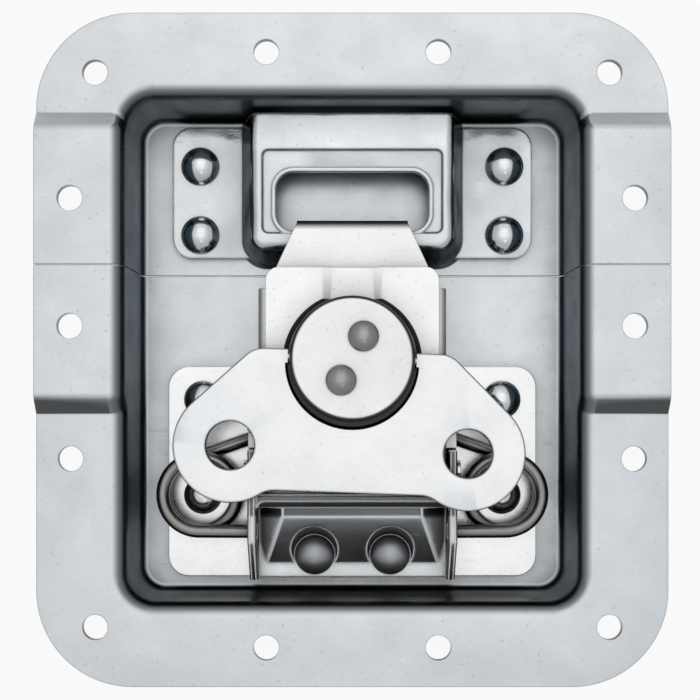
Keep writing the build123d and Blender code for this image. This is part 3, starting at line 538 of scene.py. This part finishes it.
RIVET_SMALL = metal(
    "rivet_small",
    (0.40, 0.40, 0.405),
    0.14,
    cloud=0.12,
    scratch=0.20,
    grain=0.3,
    edge=0.2,
    bump=0.06,
    shade=1.4,
    reach=4 * MM,
)
CAM = metal("cam", (0.12, 0.12, 0.12), 0.30, cloud=0.10, scratch=0.20, grain=0.2, bump=0.05, shade=1.5)
WIRE = metal(
    "wire",
    (0.34, 0.32, 0.305),
    0.22,
    cloud=0.20,
    scratch=0.15,
    grain=0.3,
    edge=0.0,
    bump=0.04,
    shade=1.6,
    reach=4 * MM,
)

FINISH = {
    "dish_upper": ZINC_DISH,
    "dish_lower": ZINC_DISH,
    "keeper": ZINC_KEEPER,
    "base_plate": ZINC_BASE,
    "bracket": ZINC_BRACKET,
    "cover_plate": ZINC_COVER,
    "hook_plate": ZINC_HOOK,
    "cam": CAM,
    "cam_washer": CAM,
    "cam_cap": ZINC_CAP,
    "butterfly_key": ZINC_KEY,
    "spring_left": WIRE,
    "spring_right": WIRE,
}


def finish_of(name):
    """The finish of a node. The pin and the rivets are grouped by kind."""
    if name in FINISH:
        return FINISH[name]
    if name.startswith("cap_rivet"):
        return RIVET_SMALL
    return RIVET_GREY if name.startswith("bracket_rivet") else RIVET


def dress(name, node):
    """Gives a CAD node its finish and smooth shading that breaks at real edges."""
    node.data.materials.clear()
    node.data.materials.append(finish_of(name))
    for polygon in node.data.polygons:
        polygon.use_smooth = True
    weld = node.modifiers.new("weld", "WELD")
    weld.merge_threshold = 1e-7
    split = node.modifiers.new("split", "EDGE_SPLIT")
    split.split_angle = math.radians(SPLIT_ANGLE)


for name, node in nodes.items():
    dress(name, node)


# ---------------------------------------------------------------- stage and light


def floor_material():
    """Pale floor that is near white to the camera and still takes a faint shadow."""
    made = bpy.data.materials.new("floor")
    made.use_nodes = True
    t = Tree(made.node_tree)
    matte = t.add("ShaderNodeBsdfDiffuse")
    cloud = t.span(t.noise(9.0, 3.0), 0.3, 0.7, 0.86, 0.88)
    tone = t.add("ShaderNodeCombineColor")
    for socket in tone.inputs[:3]:
        t.put(socket, cloud)
    t.put(matte.inputs["Color"], tone.outputs[0])
    white = t.add("ShaderNodeEmission")
    t.put(white.inputs["Color"], WHITE)
    path = t.add("ShaderNodeLightPath")
    mirrored = t.math("MAXIMUM", path.outputs["Is Glossy Ray"], path.outputs["Is Transmission Ray"])
    seen = t.math("MAXIMUM", t.math("MULTIPLY", path.outputs["Is Camera Ray"], FLOOR_WHITE), mirrored)
    t.blend(seen, matte, white, "ShaderNodeOutputMaterial")
    return made


def stage():
    """A pale floor under the rivet tails."""
    level = cad_low.z
    mesh = bpy.data.meshes.new("floor")
    turns = ((-1, -1), (1, -1), (1, 1), (-1, 1))
    mesh.from_pydata([(x * FLOOR_HALF, y * FLOOR_HALF, level) for x, y in turns], [], [(0, 1, 2, 3)])
    mesh.materials.append(floor_material())
    floor = bpy.data.objects.new("floor", mesh)
    bpy.context.scene.collection.objects.link(floor)


def world():
    """A soft dome, bright overhead and mid grey towards the horizon, with a glint. The camera sees white."""
    made = bpy.data.worlds.new("dome")
    made.use_nodes = True
    t = Tree(made.node_tree)
    place = t.place("Generated")
    lean = math.radians(DOME_LEAN)
    ramp = t.add("ShaderNodeValToRGB")
    stops = ramp.color_ramp.elements
    stops[0].position, stops[0].color = 0.0, (*DOME_LOW, 1)
    stops[1].position, stops[1].color = DOME_FULL, (*WHITE, 1)
    for position, tone in DOME_TONES:
        stops.new(position).color = (tone * 0.97, tone * 0.99, tone * 1.01, 1)
    t.put(ramp.inputs[0], t.vector("DOT_PRODUCT", place, (0, math.sin(lean), math.cos(lean))))
    azimuth, height = math.radians(GLINT_AZIMUTH), math.radians(GLINT_HEIGHT)
    level = math.cos(height)
    toward = (math.cos(azimuth) * level, math.sin(azimuth) * level, math.sin(height))
    rim = [math.cos(math.radians(angle)) for angle in GLINT_RIM]
    glint = t.span(t.vector("DOT_PRODUCT", place, toward), *rim)
    dome = t.add("ShaderNodeBackground")
    t.put(dome.inputs["Color"], t.mix(glint, ramp.outputs[0], WHITE))
    white = t.add("ShaderNodeBackground")
    t.put(white.inputs["Color"], WHITE)
    path = t.add("ShaderNodeLightPath")
    seen = t.math("MAXIMUM", path.outputs["Is Camera Ray"], path.outputs["Is Transmission Ray"])
    t.blend(seen, dome, white, "ShaderNodeOutputWorld")
    bpy.context.scene.world = made


def lamp(name, place, aim, size, power):
    """A square soft box that faces a point."""
    data = bpy.data.lights.new(name, "AREA")
    data.shape = "SQUARE"
    data.size = size
    data.energy = power
    box = bpy.data.objects.new(name, data)
    box.location = place
    box.rotation_euler = (Vector(aim) - Vector(place)).to_track_quat("-Z", "Y").to_euler()
    bpy.context.scene.collection.objects.link(box)


def camera():
    """The viewpoint: straight above, a little below the middle, with a shift for the framing."""
    data = bpy.data.cameras.new("camera")
    data.sensor_width = 36.0
    data.lens = LENS
    data.shift_x = SHIFT_X
    data.shift_y = SHIFT_Y
    data.clip_start = 0.01
    eye = bpy.data.objects.new("camera", data)
    eye.location = EYE
    bpy.context.scene.collection.objects.link(eye)
    bpy.context.scene.camera = eye


stage()
world()
lamp("key_box", place=(0.02, 0.42, 0.45), aim=(0, 0, 0), size=0.50, power=0.12)
camera()
bpy.context.scene.view_settings.view_transform = "Standard"
